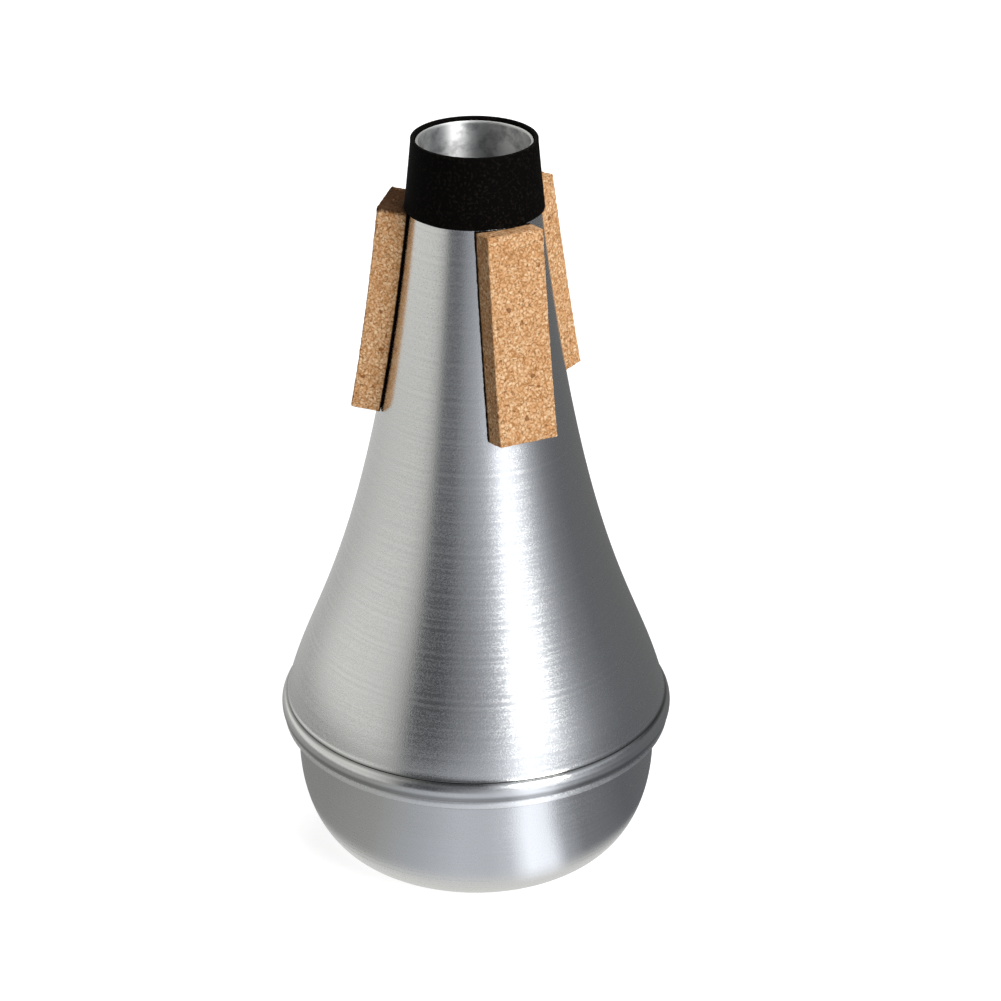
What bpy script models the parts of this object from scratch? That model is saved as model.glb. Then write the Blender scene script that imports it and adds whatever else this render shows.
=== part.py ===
"""A straight mute for a trombone, in metres, standing on its bottom with +Z up.

Two spun aluminium shells are locked together by a rolled seam. A black rubber sleeve covers the
neck, and three strips of pressed cork hold the mute in the bell of the instrument.
"""
import math

import bmesh
import bpy
import numpy as np

MM = 0.001

# Sheet, fits and facets
SHEET = 0.8 * MM
FIT_GAP = 0.3 * MM
TIGHTEST_BEND = 0.2 * MM
SEGMENTS = 60
WELD = 0.001 * MM
CREASE = math.radians(35)

# Bottom bowl: a flat to stand on, a full turn, a short upright wall and the flange
BASE_RADIUS = 41.2 * MM
BOWL_TURN_HEIGHT = 34.5 * MM
BOWL_FULLNESS = 2.05
BOWL_WALL_HEIGHT = 10.7 * MM
FLANGE_FILLET = 0.5 * MM
FLANGE_FLAT = 1.05 * MM

# Rolled seam: the cone's skirt goes round the bowl's curl and under its flange
SEAM_RADIUS = 66.0 * MM
ROLL_RADIUS = 5.0 * MM
GROOVE_DEPTH = 2.0 * MM
LIP_INSET = 1.85 * MM
LIP_UPRIGHT = 0.2 * MM
CURL_END = math.radians(35)

# Cone: one smooth flare from the rim of the neck to the groove above the seam
MUTE_HEIGHT = 250.0 * MM
NECK_RADIUS = 18.5 * MM
NECK_SLOPE = 0.11
NECK_REACH = 148.5 * MM
FOOT_SLOPE = 0.241
FOOT_REACH = 33.8 * MM

# Neck sleeve: rubber, thinner at the foot, where it is stretched most
SLEEVE_LENGTH = 22.8 * MM
SLEEVE_PROUD = 1.1 * MM
SLEEVE_WALL_RIM = 1.3 * MM
SLEEVE_WALL_FOOT = 0.9 * MM
SLEEVE_EDGE_ROUND = 0.4 * MM

# Cork strips: flat strips bent along the cone, each glued by hand at its own place
CORK_LENGTH = 67.8 * MM
CORK_THICKNESS = 9.4 * MM
CORK_TOP_WIDTH = 19.0 * MM
CORK_FOOT_WIDTH = 20.0 * MM
CORK_SEAT_DEPTH = 1.1 * MM
CORK_EDGE_LAND = 0.3 * MM
CORK_FACETS = 9
CORK_ARC_STEPS = 6
LAP_STEP = 0.01 * MM
FRONT_AZIMUTH = math.radians(0.0)
LEFT_AZIMUTH = math.radians(-122.1)
LEFT_LEAN = -2.2 * MM
RIGHT_AZIMUTH = math.radians(112.0)
RIGHT_LEAN = 1.8 * MM
RIGHT_LIFT = 3.4 * MM

# Finishes: sRGB colour, roughness, metallic
CONE_ALUMINIUM = ((0.72, 0.72, 0.71), 0.30, 1.0)
BOWL_ALUMINIUM = ((0.70, 0.70, 0.69), 0.32, 1.0)
BLACK_RUBBER = ((0.04, 0.04, 0.035), 0.60, 0.0)
PRESSED_CORK = ((0.87, 0.68, 0.49), 0.85, 0.0)

# Sizes that follow from the ones above
bowl_bend = SHEET + TIGHTEST_BEND
lip_round = bowl_bend + SHEET + FIT_GAP
lip_radius = SEAM_RADIUS - LIP_INSET
bowl_radius = lip_radius - lip_round - FLANGE_FLAT - FLANGE_FILLET
roll_centre_radius = SEAM_RADIUS - ROLL_RADIUS
lip_angle = -math.acos((ROLL_RADIUS - LIP_INSET) / ROLL_RADIUS)
groove_angle = math.acos((ROLL_RADIUS - GROOVE_DEPTH) / ROLL_RADIUS)
flange_height = BOWL_TURN_HEIGHT + BOWL_WALL_HEIGHT + FLANGE_FILLET
hem_height = flange_height - FIT_GAP - SHEET
roll_height = hem_height + lip_round + LIP_UPRIGHT - ROLL_RADIUS * math.sin(lip_angle)
groove_height = roll_height + ROLL_RADIUS * math.sin(groove_angle)
sleeve_top = MUTE_HEIGHT + SLEEVE_PROUD
sleeve_foot = sleeve_top - SLEEVE_LENGTH


def arc(centre, radius, start, end, steps):
    """Points (radius, height) on an arc of a turned profile, both ends included."""
    angles = np.linspace(start, end, steps + 1)
    return np.stack([centre[0] + radius * np.cos(angles), centre[1] + radius * np.sin(angles)], axis=1)


def cone_flare(steps):
    """Outer line of the cone from the neck's rim to the groove, a cubic Bezier curve."""
    rim = np.array([NECK_RADIUS, MUTE_HEIGHT])
    groove = np.array([SEAM_RADIUS - GROOVE_DEPTH, groove_height])
    rim_pull = rim + np.array([NECK_SLOPE * NECK_REACH, -NECK_REACH])
    groove_pull = groove + np.array([-FOOT_SLOPE * FOOT_REACH, FOOT_REACH])
    t = np.linspace(0, 1, steps + 1)[:, None]
    return ((1 - t) ** 3 * rim + 3 * (1 - t) ** 2 * t * rim_pull
            + 3 * (1 - t) * t ** 2 * groove_pull + t ** 3 * groove)


def offset(path, distance):
    """The path moved to its right-hand side, seen along its direction, with mitred corners."""
    step = np.diff(path, axis=0)
    step /= np.linalg.norm(step, axis=1)[:, None]
    right = np.stack([step[:, 1], -step[:, 0]], axis=1)
    before = np.vstack([right[:1], right])
    after = np.vstack([right, right[-1:]])
    middle = before + after
    middle /= np.linalg.norm(middle, axis=1)[:, None]
    mitre = 1 / np.sum(middle * after, axis=1)
    return path + middle * (mitre * distance)[:, None]


def joined(*paths):
    """Paths laid end to end, without the points that would repeat."""
    points = [paths[0][0]]
    for point in np.vstack(paths)[1:]:
        if np.linalg.norm(point - points[-1]) > WELD:
            points.append(point)
    return np.array(points)


def skirt_line(start_angle, end_radius):
    """Outside of the rolled seam from an angle on the roll, round the lip and in along the hem."""
    roll = arc((roll_centre_radius, roll_height), ROLL_RADIUS, start_angle, lip_angle, 8)
    corner = arc((lip_radius - lip_round, hem_height + lip_round), lip_round, 0, -math.pi / 2, 3)
    hem_end = np.array([[end_radius, hem_height]])
    return joined(roll, corner, hem_end)


def cone_section():
    """Closed section of the cone shell: flare, groove, roll and hem in one sheet."""
    hem_end = bowl_radius + FLANGE_FILLET + FIT_GAP
    outside = joined(cone_flare(12), skirt_line(groove_angle, hem_end))
    inside = offset(outside, SHEET)
    return np.vstack([outside, inside[::-1]])


def bowl_line():
    """Outside of the bowl from the axis out to the free end of the curl inside the roll."""
    turn = np.linspace(math.pi / 2, 0, 10)
    power = 2 / BOWL_FULLNESS
    turn_radius = BASE_RADIUS + (bowl_radius - BASE_RADIUS) * np.clip(np.cos(turn), 0, 1) ** power
    turn_height = BOWL_TURN_HEIGHT * (1 - np.sin(turn) ** power)
    turned_side = np.stack([turn_radius, turn_height], axis=1)
    fillet_centre = (bowl_radius + FLANGE_FILLET, BOWL_TURN_HEIGHT + BOWL_WALL_HEIGHT)
    fillet = arc(fillet_centre, FLANGE_FILLET, math.pi, math.pi / 2, 2)
    curl = offset(skirt_line(CURL_END, bowl_radius + FLANGE_FILLET), SHEET + FIT_GAP)[::-1]
    return joined(np.array([[0.0, 0.0]]), turned_side, fillet, curl)


def bowl_section():
    """Closed section of the bowl; its two ends on the axis close up when it is turned."""
    outside = bowl_line()
    inside = offset(outside, -SHEET)
    return np.vstack([outside, inside[::-1]])


flare_fine = cone_flare(400)
flare_length = np.concatenate([[0.0], np.cumsum(np.linalg.norm(np.diff(flare_fine, axis=0), axis=1))])


def cone_radius(height):
    """Outer radius of the cone at a height."""
    return float(np.interp(height, flare_fine[::-1, 1], flare_fine[::-1, 0]))


def cone_tilt(distance):
    """Angle of the cone's wall from upright at a distance down the wall from the rim."""
    reach = [distance - MM, distance + MM]
    across = np.interp(reach, flare_length, flare_fine[:, 0])
    down = np.interp(reach, flare_length, flare_fine[:, 1])
    return math.atan2(across[1] - across[0], down[0] - down[1])


def sleeve_outer_radius(height):
    """Outer radius of the sleeve, whose wall tapers from the rim to the foot."""
    share = (height - sleeve_foot) / SLEEVE_LENGTH
    wall = SLEEVE_WALL_FOOT + (SLEEVE_WALL_RIM - SLEEVE_WALL_FOOT) * share
    return cone_radius(height) + FIT_GAP + wall


def sleeve_section():
    """Closed section of the sleeve: it follows the cone inside and has a rounded rim."""
    inside = np.array([(cone_radius(h) + FIT_GAP, h) for h in np.linspace(sleeve_foot, MUTE_HEIGHT, 5)])
    inner_rim = inside[-1, 0]
    outer_rim = inner_rim + SLEEVE_WALL_RIM
    shoulder = sleeve_top - SLEEVE_EDGE_ROUND
    rim = joined(
        arc((inner_rim + SLEEVE_EDGE_ROUND, shoulder), SLEEVE_EDGE_ROUND, math.pi, math.pi / 2, 2),
        arc((outer_rim - SLEEVE_EDGE_ROUND, shoulder), SLEEVE_EDGE_ROUND, math.pi / 2, 0, 2),
    )
    outside = np.array([(sleeve_outer_radius(h), h) for h in np.linspace(shoulder, sleeve_foot, 5)])
    return joined(inside[:-1], rim, outside[1:])


def make_finish(name, finish):
    """Principled material from a finish."""
    srgb, roughness, metallic = finish
    linear = [c / 12.92 if c <= 0.04045 else ((c + 0.055) / 1.055) ** 2.4 for c in srgb]
    material = bpy.data.materials.new(name)
    material.use_nodes = True
    shader = material.node_tree.nodes["Principled BSDF"]
    shader.inputs["Base Color"].default_value = (*linear, 1.0)
    shader.inputs["Roughness"].default_value = roughness
    shader.inputs["Metallic"].default_value = metallic
    return material


def make_object(name, bm, finish):
    """Turns a bmesh into a named object with outward faces, smooth up to the crease angle."""
    bmesh.ops.remove_doubles(bm, verts=bm.verts, dist=WELD)
    bmesh.ops.recalc_face_normals(bm, faces=bm.faces)
    mesh = bpy.data.meshes.new(name)
    bm.to_mesh(mesh)
    bm.free()
    mesh.shade_smooth()
    mesh.set_sharp_from_angle(angle=CREASE)
    mesh.materials.append(make_finish(name + "_finish", finish))
    obj = bpy.data.objects.new(name, mesh)
    bpy.context.scene.collection.objects.link(obj)
    return obj


def make_turned(name, section, finish):
    """Spins a closed section of (radius, height) points once round the axis."""
    bm = bmesh.new()
    verts = [bm.verts.new((radius, 0.0, height)) for radius, height in section]
    edges = []
    for here, following in zip(verts, verts[1:] + verts[:1]):
        if here.co.x > 0 or following.co.x > 0:
            edges.append(bm.edges.new((here, following)))
    bmesh.ops.spin(bm, geom=verts + edges, cent=(0, 0, 0), axis=(0, 0, 1), angle=2 * math.pi,
                   steps=SEGMENTS, use_merge=True)
    return make_object(name, bm, finish)


def cork_ring(bm, distance, share, azimuth, lean, over_sleeve):
    """One cross-section of a cork, square to the cone's wall, as a closed loop of edges.

    The underside is flat, with a hollow sanded to the cone, or to the sleeve where it laps over it.
    """
    radius = float(np.interp(distance, flare_length, flare_fine[:, 0]))
    height = float(np.interp(distance, flare_length, flare_fine[:, 1]))
    tilt = cone_tilt(distance)
    bend_radius = radius / math.cos(tilt)
    seat_radius = bend_radius + FIT_GAP
    if over_sleeve:
        seat_radius += sleeve_outer_radius(height) - cone_radius(height)
    half_width = (CORK_TOP_WIDTH + (CORK_FOOT_WIDTH - CORK_TOP_WIDTH) * share) / 2
    hollow = math.sqrt(seat_radius ** 2 - (bend_radius - CORK_SEAT_DEPTH) ** 2)
    hollow = min(hollow, half_width - CORK_EDGE_LAND)
    outer = CORK_THICKNESS - CORK_SEAT_DEPTH
    edge = max(-CORK_SEAT_DEPTH, math.sqrt(seat_radius ** 2 - half_width ** 2) - bend_radius)
    points = [(half_width, outer), (-half_width, outer), (-half_width, edge)]
    for across in np.linspace(-hollow, hollow, CORK_ARC_STEPS + 1):
        points.append((across, math.sqrt(seat_radius ** 2 - across ** 2) - bend_radius))
    points.append((half_width, edge))
    turn = azimuth + lean * (1 - 2 * share) / radius
    verts = []
    for across, out in points:
        reach = radius + out * math.cos(tilt)
        x = reach * math.sin(turn) + across * math.cos(turn)
        y = -reach * math.cos(turn) + across * math.sin(turn)
        verts.append(bm.verts.new((x, y, height + out * math.sin(tilt))))
    return [bm.edges.new(pair) for pair in zip(verts, verts[1:] + verts[:1])]


def make_cork(name, azimuth, lean=0.0, lift=0.0):
    """Lofts a cork strip along the cone; what rises past the sleeve's foot laps over the sleeve."""
    seat_height = sleeve_foot - FIT_GAP
    sleeve_distance = float(np.interp(-seat_height, -flare_fine[:, 1], flare_length))
    sleeve_distance += SLEEVE_WALL_FOOT * math.sin(cone_tilt(sleeve_distance))
    start = sleeve_distance - lift
    rows = [(start + CORK_LENGTH * i / CORK_FACETS, i / CORK_FACETS, False)
            for i in range(CORK_FACETS + 1)]
    if lift > 0:
        lapped = lift / CORK_LENGTH
        rows[:1] = [(start, 0.0, True), (sleeve_distance, lapped, True),
                    (sleeve_distance + LAP_STEP, lapped, False)]
    bm = bmesh.new()
    loops = [cork_ring(bm, distance, share, azimuth, lean, over) for distance, share, over in rows]
    for upper, lower in zip(loops, loops[1:]):
        bmesh.ops.bridge_loops(bm, edges=upper + lower)
    for end in (loops[0], loops[-1]):
        bmesh.ops.contextual_create(bm, geom=end)
    return make_object(name, bm, PRESSED_CORK)


def main():
    for obj in list(bpy.data.objects):
        bpy.data.objects.remove(obj)
    make_turned("cone_shell", cone_section(), CONE_ALUMINIUM)
    make_turned("bowl_bottom", bowl_section(), BOWL_ALUMINIUM)
    make_turned("neck_sleeve", sleeve_section(), BLACK_RUBBER)
    make_cork("cork_front", FRONT_AZIMUTH)
    make_cork("cork_left", LEFT_AZIMUTH, lean=LEFT_LEAN)
    make_cork("cork_right", RIGHT_AZIMUTH, lean=RIGHT_LEAN, lift=RIGHT_LIFT)
    print(f"seam roll centred {roll_height / MM:.2f} mm up, bowl radius {bowl_radius / MM:.2f} mm")


main()
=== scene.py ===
# %% [markdown]
# # A straight mute for a trombone
#
# This lesson dresses a plain CAD model of a trombone mute so that it looks like the real thing. The
# mute is two spun aluminium shells, a rubber sleeve and three strips of pressed cork. Each piece is
# modelled again with more detail, in the place and at the size that the CAD model gives, and then
# gets a material that starts from how the real surface was made.

# %% Load the CAD model
import math

import bmesh
import bpy
import numpy as np
from mathutils import Matrix, Vector, noise


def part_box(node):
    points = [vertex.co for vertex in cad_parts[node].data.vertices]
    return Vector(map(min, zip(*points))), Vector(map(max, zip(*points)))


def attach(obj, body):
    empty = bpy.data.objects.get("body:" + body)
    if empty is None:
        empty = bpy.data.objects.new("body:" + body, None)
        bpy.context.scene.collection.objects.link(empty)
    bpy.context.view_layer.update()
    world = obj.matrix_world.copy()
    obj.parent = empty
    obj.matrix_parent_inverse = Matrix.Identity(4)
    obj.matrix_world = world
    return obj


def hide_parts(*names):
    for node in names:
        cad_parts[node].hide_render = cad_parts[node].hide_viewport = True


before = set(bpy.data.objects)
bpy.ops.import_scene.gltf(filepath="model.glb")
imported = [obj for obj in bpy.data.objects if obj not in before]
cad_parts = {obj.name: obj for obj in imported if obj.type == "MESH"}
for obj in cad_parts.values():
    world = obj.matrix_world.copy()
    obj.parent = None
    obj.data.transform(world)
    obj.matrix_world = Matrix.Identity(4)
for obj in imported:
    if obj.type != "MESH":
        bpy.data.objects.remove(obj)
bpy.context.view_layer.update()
MM = 0.001
print("CAD nodes:", sorted(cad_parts))

# %% [markdown]
# ## Sizes
#
# The frame says how tall and wide the mute is and where the sleeve ends. The sizes that a box can't
# give, such as the sheet's thickness or the roll of the seam, are written here once, as a drawing
# would give them. All pieces below take their sizes from these values.

# %% Sizes from the frame and from the drawing
cone_low, cone_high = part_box("cone_shell")
sleeve_low, sleeve_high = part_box("neck_sleeve")
RIM_HEIGHT = cone_high.z
SEAM_RADIUS = 66.0 * MM
SLEEVE_FOOT = sleeve_low.z
SLEEVE_TOP = sleeve_high.z
SHEET = 0.8 * MM
FIT_GAP = 0.3 * MM

NECK_RADIUS = 18.5 * MM
NECK_PULL = 148.5 * MM      # length of the flare's handle at the rim of the neck
NECK_SLOPE = 0.11           # radius gained per height at the rim
FOOT_PULL = 33.8 * MM       # the same two at the groove
FOOT_SLOPE = 0.241

ROLL_RADIUS = 5.0 * MM
GROOVE_DEPTH = 2.0 * MM
LIP_INSET = 1.85 * MM
LIP_UPRIGHT = 0.2 * MM
LIP_ROUND = 2.1 * MM
FLANGE_FILLET = 0.5 * MM
FLANGE_FLAT = 1.05 * MM
CURL_END = math.radians(35)

lip_radius = SEAM_RADIUS - LIP_INSET
bowl_radius = lip_radius - LIP_ROUND - FLANGE_FLAT - FLANGE_FILLET
lip_angle = -math.acos((ROLL_RADIUS - LIP_INSET) / ROLL_RADIUS)
groove_angle = math.acos((ROLL_RADIUS - GROOVE_DEPTH) / ROLL_RADIUS)
hem_height = cone_low.z
flange_height = hem_height + SHEET + FIT_GAP
roll_height = hem_height + LIP_ROUND + LIP_UPRIGHT - ROLL_RADIUS * math.sin(lip_angle)
groove_height = roll_height + ROLL_RADIUS * math.sin(groove_angle)
print(f"seam roll {roll_height / MM:.1f} mm up, bowl {bowl_radius / MM:.1f} mm in radius")

# %% [markdown]
# ## Turned profiles
#
# A spun piece is a profile turned round an axis. The profile could be traced point by point, but it
# is clearer as the few curves that a draughtsman would use: an arc for the roll, one Bezier curve
# for the flare. The sheet's inner side is the same line moved by the sheet's thickness.

# %% Curves for profiles
CONE_STEPS = 90
MERGE = 0.001 * MM           # points nearer than this are one


def arc(centre, radius, start, end, steps):
    """Points (radius, height) along an arc."""
    angles = np.linspace(start, end, steps + 1)
    return np.stack([centre[0] + radius * np.cos(angles), centre[1] + radius * np.sin(angles)], axis=1)


def flare(steps):
    """The cone's outer line from the rim of the neck down to the groove."""
    rim = np.array([NECK_RADIUS, RIM_HEIGHT])
    groove = np.array([SEAM_RADIUS - GROOVE_DEPTH, groove_height])
    rim_pull = rim + NECK_PULL * np.array([NECK_SLOPE, -1.0])
    groove_pull = groove + FOOT_PULL * np.array([-FOOT_SLOPE, 1.0])
    t = np.linspace(0, 1, steps + 1)[:, None]
    return ((1 - t) ** 3 * rim + 3 * (1 - t) ** 2 * t * rim_pull
            + 3 * (1 - t) * t ** 2 * groove_pull + t ** 3 * groove)


def offset(path, distance):
    """The path moved to its right-hand side, with mitred corners."""
    step = np.diff(path, axis=0)
    step /= np.linalg.norm(step, axis=1)[:, None]
    right = np.stack([step[:, 1], -step[:, 0]], axis=1)
    before = np.vstack([right[:1], right])
    after = np.vstack([right, right[-1:]])
    middle = before + after
    middle /= np.linalg.norm(middle, axis=1)[:, None]
    mitre = 1 / np.sum(middle * after, axis=1)
    return path + middle * (mitre * distance)[:, None]


def joined(*paths):
    """Paths laid end to end, without points that repeat."""
    points = [paths[0][0]]
    for point in np.vstack(paths)[1:]:
        if np.linalg.norm(point - points[-1]) > MERGE:
            points.append(point)
    return np.array(points)


def skirt(start_angle, end_radius):
    """The seam's outside: the roll, the turn of the lip and the hem that runs in under the flange."""
    roll = arc((SEAM_RADIUS - ROLL_RADIUS, roll_height), ROLL_RADIUS, start_angle, lip_angle, 28)
    lip = arc((lip_radius - LIP_ROUND, hem_height + LIP_ROUND), LIP_ROUND, 0, -math.pi / 2, 8)
    return joined(roll, lip, np.array([[end_radius, hem_height]]))


flare_steps = np.linalg.norm(np.diff(flare(CONE_STEPS), axis=0), axis=1)
print(f"the flare is {flare_steps.sum() / MM:.1f} mm long")

# %% [markdown]
# ## Building a piece
#
# A turned piece starts as a loop of edges in the XZ plane. The spin operator turns it once round Z
# and merges the last copy with the first, so the mesh closes on itself. Normals are recalculated
# because a spin can leave them pointing inwards.

# %% Spin a profile and finish a mesh
TURNS = 256


def finish_piece(name, bm, material, node, crease=40.0):
    """Makes an object of the bmesh, gives it its material, and lets it stand for its CAD node."""
    bmesh.ops.remove_doubles(bm, verts=bm.verts, dist=MERGE)
    bmesh.ops.recalc_face_normals(bm, faces=bm.faces)
    mesh = bpy.data.meshes.new(name)
    bm.to_mesh(mesh)
    bm.free()
    mesh.shade_smooth()
    mesh.set_sharp_from_angle(angle=math.radians(crease))
    mesh.materials.append(material)
    piece = bpy.data.objects.new(name, mesh)
    bpy.context.scene.collection.objects.link(piece)
    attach(piece, "root")
    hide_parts(node)
    print(f"{name}: {len(mesh.polygons)} faces")
    return piece


def spun(section):
    """A bmesh of a closed (radius, height) section turned once round the axis."""
    bm = bmesh.new()
    verts = [bm.verts.new((radius, 0.0, height)) for radius, height in section]
    edges = []
    for here, following in zip(verts, verts[1:] + verts[:1]):
        if here.co.x > 0 or following.co.x > 0:
            edges.append(bm.edges.new((here, following)))
    bmesh.ops.spin(bm, geom=verts + edges, cent=(0, 0, 0), axis=(0, 0, 1), angle=2 * math.pi,
                   steps=TURNS, use_merge=True)
    return bm


print("turned pieces have", TURNS, "faces round")

# %% [markdown]
# ## Colours and nodes
#
# Colours are picked as sRGB hex values, which is how a photograph stores them, and one function
# turns them into the linear values that the shaders use. One more function adds a node, so that a
# material reads as a list of what feeds what. A few short ones build on it for what comes up most.

# %% Helpers for materials
def srgb(code):
    """Linear RGBA from a hex colour such as BDB9B0."""
    values = [int(code[i:i + 2], 16) / 255 for i in (0, 2, 4)]
    linear = [v / 12.92 if v <= 0.04045 else ((v + 0.055) / 1.055) ** 2.4 for v in values]
    return (*linear, 1.0)


def add(tree, kind, inputs=(), **settings):
    """Adds a node, sets its properties, and fills inputs with values or with links from sockets."""
    node = tree.nodes.new(kind)
    for name, value in settings.items():
        setattr(node, name, value)
    for key, value in dict(inputs).items():
        if isinstance(value, bpy.types.NodeSocket):
            tree.links.new(value, node.inputs[key])
        else:
            node.inputs[key].default_value = value
    return node


def maths(tree, operation, *values, clamp=False):
    """What a Math node makes of the values."""
    node = add(tree, "ShaderNodeMath", dict(enumerate(values)), operation=operation, use_clamp=clamp)
    return node.outputs[0]


def ranged(tree, value, start, end, low=0.0, high=1.0):
    """Low where the value is at start, high where it is at end, and even steps between."""
    node = add(tree, "ShaderNodeMapRange", {"Value": value, "From Min": start, "From Max": end,
                                            "To Min": low, "To Max": high})
    return node.outputs[0]


def tinted(tree, factor, colour, code):
    """The colour, mixed towards a hex colour by the factor."""
    node = add(tree, "ShaderNodeMix", {"Factor": factor, 6: colour, 7: srgb(code)}, data_type="RGBA")
    return node.outputs[2]


def speckles(tree, place, size, detail, roughness=0.5):
    """A noise texture with features of about this size."""
    return add(tree, "ShaderNodeTexNoise", {"Vector": place, "Scale": 1 / size, "Detail": detail,
                                            "Roughness": roughness})


def radius_at(tree, place):
    """Distance from the mute's axis."""
    flat = add(tree, "ShaderNodeVectorMath", {0: place, 1: (1.0, 1.0, 0.0)}, operation="MULTIPLY")
    return add(tree, "ShaderNodeVectorMath", {0: flat.outputs[0]}, operation="LENGTH").outputs["Value"]


def new_material(name):
    """An empty node material and its output node."""
    material = bpy.data.materials.new(name)
    material.use_nodes = True
    material.node_tree.nodes.clear()
    output = add(material.node_tree, "ShaderNodeOutputMaterial")
    return material, material.node_tree, output


print("the hex grey 808080 is", round(srgb("808080")[0], 3), "in linear values")

# %% [markdown]
# ## Spun aluminium
#
# The shells are pressed over a turning former with a blunt tool, then rubbed with fine abrasive while
# they still turn. That leaves hair-fine rings round the axis, so a reflection stays narrow from side
# to side but smears up and down: the metal is anisotropic. The rings are a one-dimensional noise along
# the profile, and a frost of fine speckles is a three-dimensional noise. Both vary the roughness, which
# breaks up the edges of a reflection, and a faint bump adds the rubbed grain.

# %% Places and lines on a spun piece
def spun_place(tree, slope):
    """Height, height plus slope times radius, and the place with that sum for its height."""
    place = add(tree, "ShaderNodeTexCoord").outputs["Object"]
    split = add(tree, "ShaderNodeSeparateXYZ", {0: place}).outputs
    along = maths(tree, "MULTIPLY_ADD", radius_at(tree, place), slope, split["Z"])
    unrolled = add(tree, "ShaderNodeCombineXYZ", {0: split["X"], 1: split["Y"], 2: along})
    return split["Z"], along, unrolled.outputs[0]


def line_at(tree, z, height, half_width, strength):
    """A soft ring round the piece: strength at a height, and nothing beyond half_width from it."""
    distance = maths(tree, "ABSOLUTE", maths(tree, "SUBTRACT", z, height))
    return ranged(tree, distance, half_width, 0.4 * half_width, 0.0, strength)


print(f"the hem is {hem_height / MM:.1f} mm up and the groove {groove_height / MM:.1f} mm")

# %% [markdown]
# The roller that closed the seam also burnished it, so below the groove the metal is a little smoother
# and has less grain. The hem's edge stands out and gets scuffed, which leaves it rougher, and a painted
# highlight lightens it.

# %% Marks of the seam roller
SCUFF = 0.22                 # roughness that a rubbed edge gains
BURNISH = 0.03               # roughness that the seam roller takes away
SEAM_GRAIN = 0.15            # the part of the grain that it leaves
SEAM_FADE = 2.0 * MM


def rolled_seam(tree, height, scuff_and_highlight, roughness):
    """Roughness and share of the grain on a piece with a rolled seam and a scuffed edge."""
    untouched = ranged(tree, height, groove_height, groove_height + SEAM_FADE)
    rougher = maths(tree, "MULTIPLY_ADD", untouched, BURNISH, roughness)
    burnished = maths(tree, "SUBTRACT", rougher, BURNISH)
    scuffed = maths(tree, "MULTIPLY_ADD", scuff_and_highlight, SCUFF, burnished)
    return scuffed, maths(tree, "MULTIPLY_ADD", untouched, 1 - SEAM_GRAIN, SEAM_GRAIN)


print("the seam keeps", SEAM_GRAIN, "of the grain")

# %% [markdown]
# Now the metal itself. Its colour is nearly even, but shade is painted into the creases as a darker
# grey, and a painted highlight lightens the rubbed edges. A sheet that was never rubbed keeps dark
# blotches. The radial tangent tells the shader which way the rings run.

# %% Material: spun aluminium
RING_WIDTH = 1.6 * MM        # the real tool marks are finer, drawn as coarse as they need to show
RING_DEPTH = 0.05 * MM
RING_SHARE = 0.5             # the rings' part in the roughness, where the frost's is 1
GRAIN_ACROSS = 0.45 * MM     # the rubbed grain and the frost are finer too
GRAIN_ALONG = 0.6 * MM
GRAIN_DEPTH = 0.03 * MM
FROST = 0.55 * MM
FROSTING = 0.15              # how much rougher than the polish the dullest speckles are
SCRATCH_RANGE = (0.63, 0.87)
STAIN_SIZE = 7.0 * MM
STAIN_RANGE = (0.44, 0.66)
STAIN_GREY = "4A4A4C"
# grey of the shade painted into the creases
CREASE_SHADE_GREY = "6A6A66"
# colour of the painted highlight on the rubbed edges
EDGE_HIGHLIGHT_WHITE = "F2F2EE"


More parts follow.
